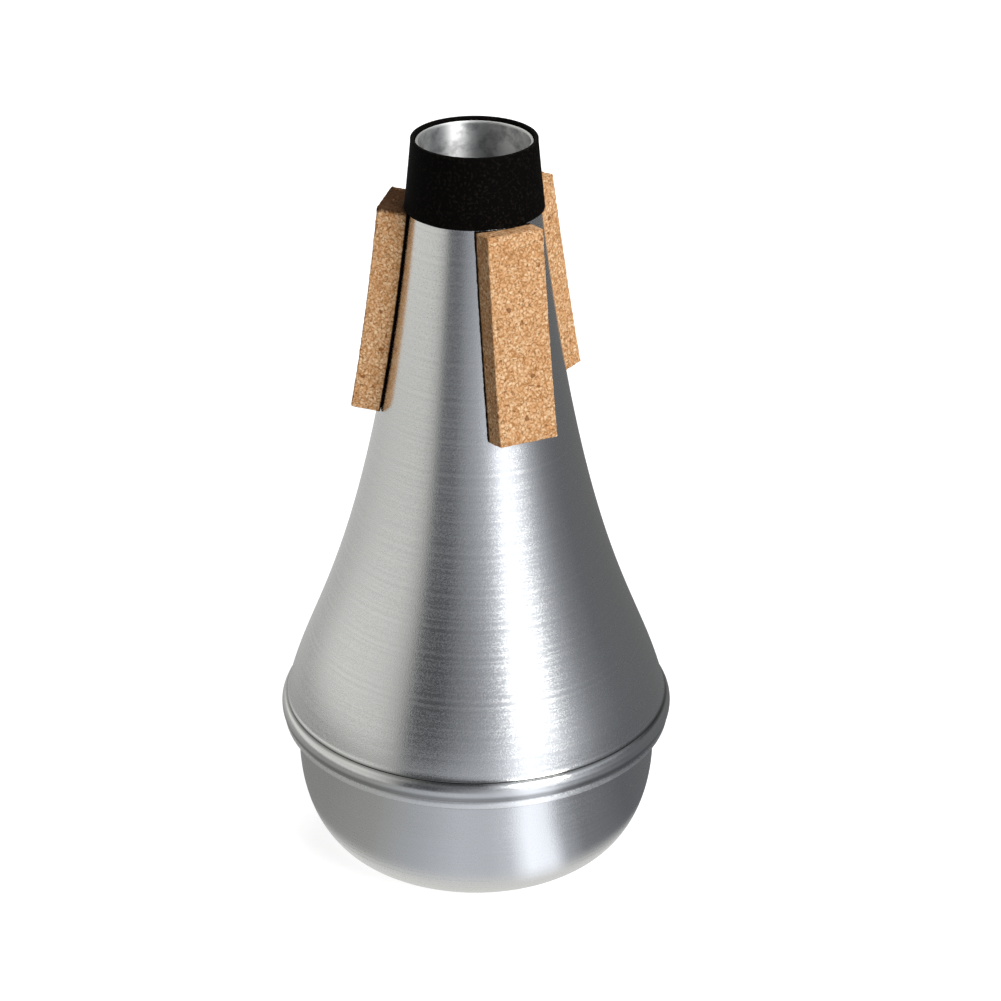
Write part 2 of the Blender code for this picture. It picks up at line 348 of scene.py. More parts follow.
def spun_aluminium(name, slope, tint, polish, creases, edge=None, smear=0.7, stain=0.0):
    """Satin aluminium whose rings follow height plus slope times radius.

    Polish is its roughness, and smear is how far the rings stretch a reflection. Creases are given as
    height, half width and the darkness of the shade painted into them, and the edge as height and half
    width; the edge is rougher and gets a painted highlight. Stain is how dark the blotches are.
    """
    material, tree, output = new_material(name)
    height, along, unrolled = spun_place(tree, slope)
    rings = add(tree, "ShaderNodeTexNoise", {"W": along, "Scale": 1 / RING_WIDTH, "Detail": 1.0},
                noise_dimensions="1D").outputs["Fac"]
    stretched = add(tree, "ShaderNodeVectorMath", {
        0: unrolled, 1: (1 / GRAIN_ACROSS, 1 / GRAIN_ACROSS, 1 / GRAIN_ALONG)}, operation="MULTIPLY")
    grain = speckles(tree, stretched.outputs[0], 1.0, 2.0, 0.6).outputs["Fac"]
    frost = speckles(tree, unrolled, FROST, 1.0).outputs["Fac"]
    colour = tinted(tree, grain, srgb(tint[0]), tint[1])
    # painted shade: the colour is darkened along each crease
    for crease_height, half_width, darkness in creases:
        crease_shade = line_at(tree, height, crease_height, half_width, darkness)
        colour = tinted(tree, crease_shade, colour, CREASE_SHADE_GREY)
    if stain > 0:
        blots = speckles(tree, unrolled, STAIN_SIZE, 4.0, 0.6).outputs["Fac"]
        colour = tinted(tree, ranged(tree, blots, *STAIN_RANGE, 0.0, stain), colour, STAIN_GREY)
    scratches = maths(tree, "MULTIPLY_ADD", rings, RING_SHARE, frost)
    roughness = ranged(tree, scratches, *SCRATCH_RANGE, polish, polish + FROSTING)
    grain_strength = 1.0
    if edge is not None:
        # the edge band makes the roughness higher as a real scuff, and lightens the colour as a painted
        # highlight
        scuff_and_highlight = line_at(tree, height, *edge, 1.0)
        colour = tinted(tree, scuff_and_highlight, colour, EDGE_HIGHLIGHT_WHITE)
        roughness, grain_strength = rolled_seam(tree, height, scuff_and_highlight, roughness)
    grain_bump = add(tree, "ShaderNodeBump", {"Height": grain, "Strength": grain_strength,
                                              "Distance": GRAIN_DEPTH})
    ring_bump = add(tree, "ShaderNodeBump", {"Height": rings, "Strength": 0.1, "Distance": RING_DEPTH,
                                             "Normal": grain_bump.outputs[0]})
    around = add(tree, "ShaderNodeTangent", direction_type="RADIAL", axis="Z")
    shader = add(tree, "ShaderNodeBsdfPrincipled", {
        "Base Color": colour, "Metallic": 1.0, "Roughness": roughness, "Anisotropic": smear,
        "Anisotropic Rotation": 0.25, "Normal": ring_bump.outputs[0], "Tangent": around.outputs[0]})
    tree.links.new(shader.outputs[0], output.inputs["Surface"])
    return material


SHELL_TINT = ("DADAD6", "E0E0DC")
INSIDE_TINT = ("DCDCD9", "E6E6E3")
SHELL_POLISH = 0.14
INSIDE_POLISH = 0.48
# bands of painted shade: in the groove, in the valley above the hem, and on the bowl under the lip
groove_shade = (groove_height, 1.0 * MM, 0.8)
valley_shade = (hem_height + 4.6 * MM, 1.7 * MM, 0.6)
bowl_shade = (hem_height - 1.2 * MM, 0.9 * MM, 0.8)
cone_metal = spun_aluminium("spun_aluminium_cone", -1.0, SHELL_TINT, SHELL_POLISH,
                            creases=[groove_shade, valley_shade], edge=(hem_height + 1.9 * MM, 1.5 * MM))
bowl_metal = spun_aluminium("spun_aluminium_bowl", 1.0, SHELL_TINT, SHELL_POLISH, creases=[bowl_shade])
# the inside gets painted shade in the groove and a painted highlight along the cut rim
raw_metal = spun_aluminium("raw_aluminium_inside", -1.0, INSIDE_TINT, INSIDE_POLISH,
                           creases=[groove_shade], edge=(RIM_HEIGHT, 0.9 * MM), smear=0.9, stain=0.62)
print("the cone's metal has", len(cone_metal.node_tree.nodes), "nodes")

# %% [markdown]
# ## The cone shell
#
# The cone carries the look of the mute, so its profile follows the CAD model's with many more points.
# At its foot the sheet bulges into a small ledge and drops into a crease. Both corners of the crease
# get a bevel, because sheet metal can't fold to a knife edge. The sheet then runs round the roll,
# through a shallow valley and round the hem, a second and thinner bead, and turns back in under the
# bowl's flange. The inside of the cone and the cut rim of the neck get the raw metal.

# %% Profile of the cone shell
LEDGE = np.array([[-0.35, 1.46], [-0.12, 0.86], [0.35, 0.35]]) * MM     # from the groove's corner
CREASE = np.array([-0.15, -0.33]) * MM
LEDGE_REACH = 2.0 * MM
ROLL_START = math.radians(50)
ROLL_END = math.radians(-22)
VALLEY = np.array([[65.30, 4.02], [65.10, 3.78], [65.06, 3.58]]) * MM   # radius, height over the hem
HEM_ROUND = 2.5 * MM
HEM_CENTRE = 62.75 * MM
HEM_START = math.radians(20)
hem_end = bowl_radius + FLANGE_FILLET + FIT_GAP
outer_flare = flare(CONE_STEPS)
cone_plain = joined(outer_flare, skirt(groove_angle, hem_end))
cone_inside = offset(cone_plain, SHEET)
groove_point = np.array([SEAM_RADIUS - GROOVE_DEPTH, groove_height])
above = outer_flare[np.linalg.norm(outer_flare - groove_point, axis=1) > LEDGE_REACH]
ledge = groove_point + LEDGE
crease_bottom = groove_point + CREASE
roll = arc((SEAM_RADIUS - ROLL_RADIUS, roll_height), ROLL_RADIUS, ROLL_START, ROLL_END, 24)
hem_bead = arc((HEM_CENTRE, hem_height + HEM_ROUND), HEM_ROUND, HEM_START, -math.pi / 2, 16)
seam_line = joined(roll, VALLEY + (0, hem_height), hem_bead, np.array([[hem_end, hem_height]]))
cone_outside = joined(above, ledge, crease_bottom[None], seam_line)
cone_bm = spun(np.vstack([cone_outside, cone_inside[::-1]]))
print("the cone's section has", len(cone_outside) + len(cone_inside), "points")

# %% [markdown]
# The corners of the crease and of the rim are found by their radius and height and get their bevels.
# Once the mesh is finished, the faces of the inside and of the rim are given the raw metal.

# %% Cone shell
CREASE_BEVEL = 0.18 * MM
RIM_BEVEL = 0.15 * MM
TOUCH = 0.01 * MM


def ring_edges(bm, radius, height):
    """The edges of the circle that has this radius and height."""
    found = []
    for edge in bm.edges:
        near = [v for v in edge.verts if abs(v.co.z - height) < TOUCH
                and abs(math.hypot(v.co.x, v.co.y) - radius) < TOUCH]
        if len(near) == 2:
            found.append(edge)
    return found


crease_rings = ring_edges(cone_bm, *ledge[-1]) + ring_edges(cone_bm, *crease_bottom)
bmesh.ops.bevel(cone_bm, geom=crease_rings, offset=CREASE_BEVEL, affect="EDGES", segments=3, profile=0.5,
                material=-1)
rim_rings = ring_edges(cone_bm, *cone_outside[0]) + ring_edges(cone_bm, *cone_inside[0])
bmesh.ops.bevel(cone_bm, geom=rim_rings, offset=RIM_BEVEL, affect="EDGES", segments=2, profile=0.5,
                material=-1)
cone = finish_piece("cone_skin", cone_bm, cone_metal, "cone_shell")
cone.data.materials.append(raw_metal)
inside_faces = [face for face in cone.data.polygons
                if face.normal.x * face.center.x + face.normal.y * face.center.y < 0
                and face.center.z > groove_height or face.center.z > RIM_HEIGHT - TOUCH]
for face in inside_faces:
    face.material_index = 1
print(len(inside_faces), "faces of raw metal inside the cone and on its rim")

# %% [markdown]
# ## The bowl
#
# The bottom is flat in the middle, so the mute stands, and turns up in one full curve to a short
# upright wall. A superellipse gives that curve with a single number for its fullness. The rim goes
# out as a flange and curls up inside the roll, where the cone's skirt holds it.

# %% Bowl
BASE_RADIUS = 41.2 * MM
TURN_HEIGHT = 34.5 * MM
FULLNESS = 2.05
turn = np.linspace(math.pi / 2, 0, 40)
power = 2 / FULLNESS
turned_side = np.stack([
    BASE_RADIUS + (bowl_radius - BASE_RADIUS) * np.clip(np.cos(turn), 0, 1) ** power,
    TURN_HEIGHT * (1 - np.sin(turn) ** power)], axis=1)
fillet = arc((bowl_radius + FLANGE_FILLET, flange_height - FLANGE_FILLET), FLANGE_FILLET,
             math.pi, math.pi / 2, 4)
curl = offset(skirt(CURL_END, bowl_radius + FLANGE_FILLET), SHEET + FIT_GAP)[::-1]
rings_out = np.array([[r * MM, 0.0] for r in (0.0, 10.0, 20.0, 30.0, 37.0)])
bowl_outside = joined(rings_out, turned_side, fillet, curl)
bowl_inside = offset(bowl_outside, -SHEET)
bowl_bm = spun(np.vstack([bowl_outside, bowl_inside[::-1]]))
finish_piece("bowl_skin", bowl_bm, bowl_metal, "bowl_bottom")

# %% [markdown]
# ## Black rubber
#
# The sleeve is a cut length of matt black rubber tube. Rubber is a poor mirror: it is rough, and a
# little dust and talc sits in its pores as paler specks.

# %% Material: black rubber
RUBBER_PORE = 0.9 * MM
PORE_DEPTH = 0.08 * MM
SPECK_RANGE = (0.52, 0.68)
RUBBER_BLACK = "060504"
SPECK_GREY = "1A1613"


def black_rubber():
    """Matt black rubber with faint specks."""
    material, tree, output = new_material("black_rubber_tube")
    place = add(tree, "ShaderNodeTexCoord").outputs["Object"]
    pores = speckles(tree, place, RUBBER_PORE, 3.0).outputs["Fac"]
    shade = tinted(tree, ranged(tree, pores, *SPECK_RANGE), srgb(RUBBER_BLACK), SPECK_GREY)
    bump = add(tree, "ShaderNodeBump", {"Height": pores, "Strength": 0.5, "Distance": PORE_DEPTH})
    shader = add(tree, "ShaderNodeBsdfPrincipled", {"Base Color": shade, "Roughness": 0.8,
                                                    "IOR": 1.5, "Specular IOR Level": 0.04,
                                                    "Normal": bump.outputs[0]})
    tree.links.new(shader.outputs[0], output.inputs["Surface"])
    return material


rubber = black_rubber()
print("the rubber has", len(rubber.node_tree.nodes), "nodes")

# %% [markdown]
# ## The neck sleeve
#
# The sleeve follows the cone with a small gap. Its wall is thinner at the foot, where the tube is
# stretched most, and its foot was cut by hand, so the edge wanders up and down a little.

# %% Neck sleeve
WALL_AT_RIM = 1.3 * MM
WALL_AT_FOOT = 0.9 * MM
EDGE_ROUND = 0.4 * MM
CUT_WANDER = 0.25 * MM
CUT_WAVE = 9 * MM
CUT_REACH = 4 * MM           # the wandering fades out this far above the cut
CUT_RISE = 0.3               # raises the cut on the whole, so that it keeps to the CAD model's box
fine_flare = flare(600)


def cone_radius(height):
    """Outer radius of the cone at a height."""
    return float(np.interp(height, fine_flare[::-1, 1], fine_flare[::-1, 0]))


def sleeve_wall(height):
    """Thickness of the rubber at a height."""
    share = (height - SLEEVE_FOOT) / (SLEEVE_TOP - SLEEVE_FOOT)
    return WALL_AT_FOOT + (WALL_AT_RIM - WALL_AT_FOOT) * share


inner_rim = cone_radius(RIM_HEIGHT) + FIT_GAP
shoulder = SLEEVE_TOP - EDGE_ROUND
inside = np.array([(cone_radius(h) + FIT_GAP, h) for h in np.linspace(SLEEVE_FOOT, shoulder, 16)])
lip = joined(arc((inner_rim + EDGE_ROUND, shoulder), EDGE_ROUND, math.pi, math.pi / 2, 4),
             arc((inner_rim + WALL_AT_RIM - EDGE_ROUND, shoulder), EDGE_ROUND, math.pi / 2, 0, 4))
outside = np.array([(cone_radius(h) + FIT_GAP + sleeve_wall(h), h)
                    for h in np.linspace(shoulder, SLEEVE_FOOT, 24)])
sleeve_bm = spun(joined(inside, lip, outside))
for vert in sleeve_bm.verts:
    foot_share = max(0.0, 1 - (vert.co.z - SLEEVE_FOOT) / CUT_REACH)
    around = Vector((vert.co.x, vert.co.y, 0)) / CUT_WAVE
    vert.co.z += CUT_WANDER * foot_share * (noise.noise(around) + CUT_RISE)
finish_piece("sleeve_skin", sleeve_bm, rubber, "neck_sleeve")

# %% [markdown]
# ## Pressed cork
#
# Cork sheet for mutes is ground cork pressed with a binder. Each granule has its own shade of tan and
# is darker along its joints, in some places more than in others. A few granules are brown bark, and
# small dark pits show where a crumb has broken out. Cells from a Voronoi texture are the granules, and
# noise pushes them out of shape and breaks up each one. Two values that come with the mesh say where
# shade is painted along the strip's foot and where a shadow is painted over an end.

# %% Material: pressed cork
GRANULE = 1.15 * MM
BARK_SHARE = 0.012
PIT = 0.8 * MM
CRUMB = 0.8 * MM
WARP_SIZE = 0.9 * MM
WARP = 0.5 * MM
RELIEF = 0.15 * MM
CORK_TANS = ("E8B280", "FFDDB2")
CRUMB_CONTRAST = 1.8
JOINT_RANGE = (0.36, 0.04)
JOINT_BROWN = "BC8450"
FAINT_RANGE = (0.42, 0.56)
FAINTEST = 0.35              # how much of its darkness a joint keeps where it is faint
PIT_RANGE = (0.66, 0.74)
PIT_DARKNESS = 0.7
PIT_BROWN = "8E5A32"
BARK_DARKNESS = 0.85
BARK_BROWN = "8A5630"
# painted shade along the strip's foot, where it meets the metal
FOOT_SHADE_RANGE = (1.0, 0.6)
FOOT_SHADE_BROWN = "1E120A"
# a shadow painted over the top end of a strip, where the sleeve shades it
END_SHADOW_RANGE = (0.7, 1.3)
END_SHADOW_DARKNESS = 0.93
END_SHADOW_BROWN = "3A2418"


def pressed_cork():
    """Pressed cork granules in tan, with bark, pits, painted shade along the foot and a painted shadow over
    an end.
    """
    material, tree, output = new_material("pressed_cork_granules")
    place = add(tree, "ShaderNodeTexCoord").outputs["Object"]
    warp = speckles(tree, place, WARP_SIZE, 2.0)
    pushed = add(tree, "ShaderNodeVectorMath", {0: warp.outputs["Color"], 1: (WARP,) * 3, 2: place},
                 operation="MULTIPLY_ADD").outputs[0]
    grains = add(tree, "ShaderNodeTexVoronoi", {"Vector": pushed, "Scale": 1 / GRANULE})
    joints = add(tree, "ShaderNodeTexVoronoi", {"Vector": pushed, "Scale": 1 / GRANULE},
                 feature="DISTANCE_TO_EDGE")
    tone = add(tree, "ShaderNodeSeparateXYZ", {0: grains.outputs["Color"]}).outputs
    crumbs = speckles(tree, place, CRUMB, 2.0).outputs["Fac"]
    shade = maths(tree, "MULTIPLY_ADD", crumbs, CRUMB_CONTRAST, -CRUMB_CONTRAST / 2)
    mixed = maths(tree, "ADD", tone["X"], shade, clamp=True)
    colour = tinted(tree, mixed, srgb(CORK_TANS[0]), CORK_TANS[1])
    open_joint = ranged(tree, joints.outputs["Distance"], *JOINT_RANGE)
    broken = ranged(tree, warp.outputs["Fac"], *FAINT_RANGE, FAINTEST, 1.0)
    gap = maths(tree, "MULTIPLY", open_joint, broken)
    colour = tinted(tree, gap, colour, JOINT_BROWN)
    hollows = speckles(tree, place, PIT, 0.0).outputs["Fac"]
    colour = tinted(tree, ranged(tree, hollows, *PIT_RANGE, 0.0, PIT_DARKNESS), colour, PIT_BROWN)
    bark = ranged(tree, tone["Y"], 1 - BARK_SHARE, 1 - 0.8 * BARK_SHARE, 0.0, BARK_DARKNESS)
    colour = tinted(tree, bark, colour, BARK_BROWN)
    # painted shade along the strip's foot
    lift = add(tree, "ShaderNodeAttribute", attribute_name="lift").outputs["Fac"]
    colour = tinted(tree, ranged(tree, lift, *FOOT_SHADE_RANGE), colour, FOOT_SHADE_BROWN)
    # painted shadow over the strip's top end
    end_shadow = add(tree, "ShaderNodeAttribute", attribute_name="end_shadow").outputs["Fac"]
    patchy = maths(tree, "ADD", crumbs, end_shadow)
    painted_end_shadow = ranged(tree, patchy, *END_SHADOW_RANGE, 0.0, END_SHADOW_DARKNESS)
    colour = tinted(tree, painted_end_shadow, colour, END_SHADOW_BROWN)
    relief = maths(tree, "MULTIPLY_ADD", gap, -1.0, mixed)
    bump = add(tree, "ShaderNodeBump", {"Height": relief, "Strength": 0.6, "Distance": RELIEF})
    shader = add(tree, "ShaderNodeBsdfPrincipled", {"Base Color": colour, "Roughness": 0.9,
                                                    "IOR": 1.45, "Specular IOR Level": 0.04,
                                                    "Normal": bump.outputs[0]})
    tree.links.new(shader.outputs[0], output.inputs["Surface"])
    return material


cork_material = pressed_cork()
print("the cork has", len(cork_material.node_tree.nodes), "nodes")

# %% [markdown]
# ## Cork strips
#
# A strip is sawn flat and then bent down on the cone, and its underside is sanded to the metal. The
# same is done here. Every point keeps its distance from the cone's wall, and only the lowest few
# millimetres are stretched or pressed, until the underside lies just above the metal.

# %% Bending a strip onto the cone
CORK_LENGTH = 67.8 * MM
CORK_THICKNESS = 9.4 * MM
TOP_WIDTH = 19.0 * MM
FOOT_WIDTH = 20.0 * MM
SEAT_DEPTH = 1.1 * MM
SEAT_RISE = 3.0 * MM         # height over which the underside is fitted to the wall
flare_length = np.concatenate([[0.0], np.cumsum(np.linalg.norm(np.diff(fine_flare, axis=0), axis=1))])
LAP_START = float(np.interp(-(SLEEVE_FOOT - FIT_GAP), -fine_flare[:, 1], flare_length))


def wall_at(distance):
    """Radius, height and tilt of the cone's wall at a distance down it from the rim."""
    reach = [distance - MM, distance, distance + MM]
    radii = np.interp(reach, flare_length, fine_flare[:, 0])
    heights = np.interp(reach, flare_length, fine_flare[:, 1])
    return radii[1], heights[1], math.atan2(radii[2] - radii[0], heights[0] - heights[2])


def bent_point(point, start, azimuth, lean):
    """Where a point (across, along, out) of the flat strip lies once the strip is on the cone."""
    across, along, out = point
    radius, height, tilt = wall_at(start + along)
    share = along / CORK_LENGTH
    width = (TOP_WIDTH + (FOOT_WIDTH - TOP_WIDTH) * share) / TOP_WIDTH
    across *= width
    bend = radius / math.cos(tilt)
    seat = bend + FIT_GAP
    if height > SLEEVE_FOOT - FIT_GAP:
        seat += FIT_GAP + sleeve_wall(height)
    under = math.sqrt(seat ** 2 - across ** 2) - bend
    rise = min(max(out, 0.0) / SEAT_RISE, 1.0)
    if rise < 1:
        out = under + (SEAT_RISE - SEAT_DEPTH - under) * rise
    else:
        out -= SEAT_DEPTH
    turn = azimuth + lean * (1 - 2 * share) / radius
    reach = radius + out * math.cos(tilt)
    return Vector((reach * math.sin(turn) + across * math.cos(turn),
                   -reach * math.cos(turn) + across * math.sin(turn),
                   height + out * math.sin(tilt)))


print(f"the strips start {LAP_START / MM:.1f} mm down the cone's wall")

# %% [markdown]
# The flat strip is a block with a small bevel on its edges, cut into small cells. Noise roughens the
# sawn faces and the edges, where crumbs break out. Each vertex also stores, for the material, how far it
# is above the band of painted shade along the foot and how much shadow is painted over it at the top
# end. Three strips are made, each placed a little unevenly, as a hand does it. The front one carries the
# widest band of painted shade, and the left one has a shadow painted over its top end.

# %% Cork strips
EDGE_BEVEL = 0.35 * MM
CELL = 0.6 * MM
COARSE_CRUMB = 1.4 * MM
FINE_CRUMB = 0.6 * MM
FINE_SHARE = 0.6             # the fine crumbs' part, where the coarse ones' is 1
SAW_DEPTH = 0.14 * MM
# how far down and how patchy the shadow painted over the top end is
END_SHADOW_DEPTH = 2.2 * MM
END_SHADOW_PATCH = 4.0 * MM
END_SHADOW_SPREAD = 0.8            # how uneven the painted end shadow is from place to place


def make_strip(name, node, azimuth, lean=0.0, lift=0.0, end_shadow_strength=0.0, foot_shade_height=0.6 * MM):
    """A cork strip glued on the cone at an azimuth, with the small errors of a hand-glued one.

    Lean is how far its top is off to one side and lift how far up it sits. The next two set how dark a
    shadow is painted over its top end and how high the shade painted along its foot reaches.
    """
    bm = bmesh.new()
    bmesh.ops.create_cube(bm, size=1.0)
    bmesh.ops.scale(bm, vec=(TOP_WIDTH, CORK_LENGTH, CORK_THICKNESS), verts=bm.verts)
    bmesh.ops.translate(bm, vec=(0, CORK_LENGTH / 2, CORK_THICKNESS / 2), verts=bm.verts)
    bmesh.ops.bevel(bm, geom=bm.edges, offset=EDGE_BEVEL, affect="EDGES", segments=2, profile=0.5,
                    material=-1)
    for axis, size in ((0, TOP_WIDTH), (1, CORK_LENGTH), (2, CORK_THICKNESS)):
        normal = Vector([1.0 if i == axis else 0.0 for i in range(3)])
        middle = Vector((0, CORK_LENGTH / 2, CORK_THICKNESS / 2))
        count = int(size / CELL)
        for cut in range(1, count):
            at = middle + normal * (cut / count - 0.5) * size
            bmesh.ops.bisect_plane(bm, geom=bm.verts[:] + bm.edges[:] + bm.faces[:], dist=1e-6,
                                   plane_co=at, plane_no=normal)
    bm.normal_update()
    foot_shade_layer = bm.verts.layers.float.new("lift")
    end_shadow_layer = bm.verts.layers.float.new("end_shadow")
    seed = Vector((azimuth, 0.3, 0.7)) * 10
    # each vertex stores its height over the shade painted along the foot and how much shadow is painted over
    # the top end
    for vert in bm.verts:
        vert[foot_shade_layer] = vert.co.z / foot_shade_height
        patch = 1.0 + END_SHADOW_SPREAD * noise.noise(vert.co / END_SHADOW_PATCH + seed)
        vert[end_shadow_layer] = end_shadow_strength * patch * max(0.0, 1 - vert.co.y / END_SHADOW_DEPTH)
    start = LAP_START - lift
    for vert in bm.verts:
        coarse = noise.noise(vert.co / COARSE_CRUMB + seed)
        fine = noise.noise(vert.co / FINE_CRUMB + seed)
        vert.co += vert.normal * (coarse + FINE_SHARE * fine) * SAW_DEPTH
    for vert in bm.verts:
        vert.co = bent_point(vert.co, start, azimuth, lean)
    return finish_piece(name, bm, cork_material, node, crease=60.0)


# the front strip has the widest band of painted shade along its foot
make_strip("cork_strip_front", "cork_front", 0.0, foot_shade_height=2.0 * MM)
# the left strip has a shadow painted over its top end
make_strip("cork_strip_left", "cork_left", math.radians(-122.1), lean=-2.2 * MM, end_shadow_strength=1.1)
make_strip("cork_strip_right", "cork_right", math.radians(112.0), lean=1.8 * MM, lift=3.4 * MM)

# %% [markdown]
# ## The studio
#
# Metal shows what stands round it, so the studio is part of the finish. The floor and the world are
# white for the camera and for reflections through the Light Path node, while their light on the
# object stays at a plain level.

# %% White world
CAMERA_AZIMUTH = -25.4
AMBIENT = 0.16


def seen_directly(tree):
    """1 for camera, glossy and transmission rays, and 0 for the rays that carry light."""
    path = add(tree, "ShaderNodeLightPath").outputs
    first = maths(tree, "ADD", path["Is Camera Ray"], path["Is Glossy Ray"])
    return maths(tree, "ADD", first, path["Is Transmission Ray"], clamp=True)


world = bpy.data.worlds.new("white_surround")
world.use_nodes = True
world.node_tree.nodes.clear()
world_output = add(world.node_tree, "ShaderNodeOutputWorld")
world_mix = add(world.node_tree, "ShaderNodeMixShader", {
    0: seen_directly(world.node_tree),
    1: add(world.node_tree, "ShaderNodeBackground", {"Strength": AMBIENT}).outputs[0],
    2: add(world.node_tree, "ShaderNodeBackground", {"Color": srgb("FFFFFF"), "Strength": 1.0}).outputs[0]})
world.node_tree.links.new(world_mix.outputs[0], world_output.inputs["Surface"])
bpy.context.scene.world = world
print("the world lights the mute at", AMBIENT, "of white")

# %% [markdown]
# Close to the mute the floor glows a little less than white and the lamps make up for it, so that the
# mute's shadow shows. Farther out it glows white, so that no horizon shows.

# %% White floor
FLOOR_GLOW = 0.80
GLOW_START = 0.4
GLOW_END = 1.4
FLOOR_HALF = 4.0
FLOOR_DROP = 0.2 * MM        # keeps the floor clear of the mute's flat base
floor_material, floor_tree, floor_output = new_material("white_sweep")
floor_place = add(floor_tree, "ShaderNodeTexCoord").outputs["Object"]
floor_reach = add(floor_tree, "ShaderNodeVectorMath", {0: floor_place}, operation="LENGTH").outputs["Value"]
floor_glow = ranged(floor_tree, floor_reach, GLOW_START, GLOW_END, FLOOR_GLOW, 1.0)
glow_strength = maths(floor_tree, "MULTIPLY", seen_directly(floor_tree), floor_glow)
floor_sum = add(floor_tree, "ShaderNodeAddShader", {
    0: add(floor_tree, "ShaderNodeBsdfDiffuse", {"Color": srgb("BCBCBC")}).outputs[0],
    1: add(floor_tree, "ShaderNodeEmission", {"Strength": glow_strength}).outputs[0]})
floor_tree.links.new(floor_sum.outputs[0], floor_output.inputs["Surface"])


def stage_piece(name, bm, material):
    """Makes a stage object of the bmesh."""
    mesh = bpy.data.meshes.new(name)
    bm.to_mesh(mesh)
    bm.free()
    mesh.materials.append(material)
    piece = bpy.data.objects.new(name, mesh)
    bpy.context.scene.collection.objects.link(piece)
    return piece


floor_bm = bmesh.new()
bmesh.ops.create_grid(floor_bm, x_segments=1, y_segments=1, size=FLOOR_HALF)
bmesh.ops.translate(floor_bm, vec=(0, 0, -FLOOR_DROP), verts=floor_bm.verts)
stage_piece("studio_floor", floor_bm, floor_material)
print(f"the floor glows at {FLOOR_GLOW} by the mute and at 1.0 from {GLOW_END} m out")

# %% [markdown]
# A photographer of metal puts a curved wall of paper round the table, because a bare room shows in
# the metal as a jumble. The paper is pale on the left, dark beside the camera and on the right, and
# lit white between them. It closes to a roof above, and on the table lie a cloth close to the mute and
# a board round it, in tones of their own. The metal sees all this, and the camera doesn't. Each tone
# below belongs to an angle round the axis, counted from the camera: minus is to its left, plus to its
# right.

# %% Tones of the paper, the cloth and the board
WALL_TONES = [(-180, 0.70), (-170, 1.00), (-110, 0.94), (-75, 0.87), (-60, 0.80), (-48, 0.57), (-39, 0.12),
              (-23, 0.10), (-13, 0.24), (-4, 0.34), (7, 0.49), (17, 0.79), (26, 1.30), (38, 1.28), (48, 0.93),
              (60, 0.53), (74, 0.27), (94, 0.16), (160, 0.16), (180, 0.70)]
CLOTH_TONES = [(-180, 0.30), (-120, 0.25), (-80, 0.29), (-50, 0.36), (-25, 0.50), (-8, 0.63), (6, 0.61),
               (14, 0.70), (23, 1.35), (33, 1.20), (40, 0.45), (50, 0.22), (80, 0.14),
               (160, 0.17), (180, 0.30)]
BOARD_TONES = [(-180, 0.40), (-173, 0.60), (-150, 0.54), (-120, 0.42), (-95, 0.34), (-80, 0.30), (-50, 0.34),
               (-25, 0.48), (-8, 0.62), (6, 0.60), (16, 0.80), (25, 1.3), (33, 1.1), (43, 0.48),
               (57, 0.24), (80, 0.14), (165, 0.17), (180, 0.40)]
CEILING_TONES = [(-180, 0.85), (-75, 1.00), (-50, 0.40), (-35, 0.12), (5, 0.16), (20, 0.90), (28, 1.6),
                 (40, 1.6), (52, 0.85), (100, 0.60), (180, 0.85)]
TONE_SCALE = 2.4
COOL = (0.96, 1.0, 1.12)
WARM = (0.99, 1.0, 1.0)
COOL_SIDE = (-45, 150)       # the angles between which a tone is tinted with COOL, not WARM


def tones_by_angle(tree, angle, tones):
    """A colour ramp over the full turn. Its greys are stored as shares of TONE_SCALE."""
    ramp = add(tree, "ShaderNodeValToRGB", {0: angle})
    stops = ramp.color_ramp.elements
    while len(stops) > 1:
        stops.remove(stops[-1])
    for i, (degrees, tone) in enumerate(tones):
        stop = stops[0] if i == 0 else stops.new(0.5 + degrees / 360)
        stop.position = 0.5 + degrees / 360
        tint = COOL if COOL_SIDE[0] < degrees < COOL_SIDE[1] else WARM
        stop.color = (*(tone / TONE_SCALE * part for part in tint), 1.0)
    return ramp.outputs["Color"]


print(len(WALL_TONES), "tones round the mute on the paper and", len(CLOTH_TONES), "on the cloth")

# %% [markdown]
# The material blends from one surface to the next by the distance from the axis and by height. Right
# under the mute lies one even tone, which shows in the turn of the bowl.

# %% Material: graded paper
BASE_TONE = 0.78
BASE_EDGE = (0.064, 0.053)
CLOTH_EDGE = (0.10, 0.20)
BOARD_EDGE = (0.35, 1.25)
WALL_FADE_HEIGHTS = (0.05, 0.4)
WALL_FADE = (1.03, 0.78)
ROOF_HEIGHTS = (0.55, 1.0)


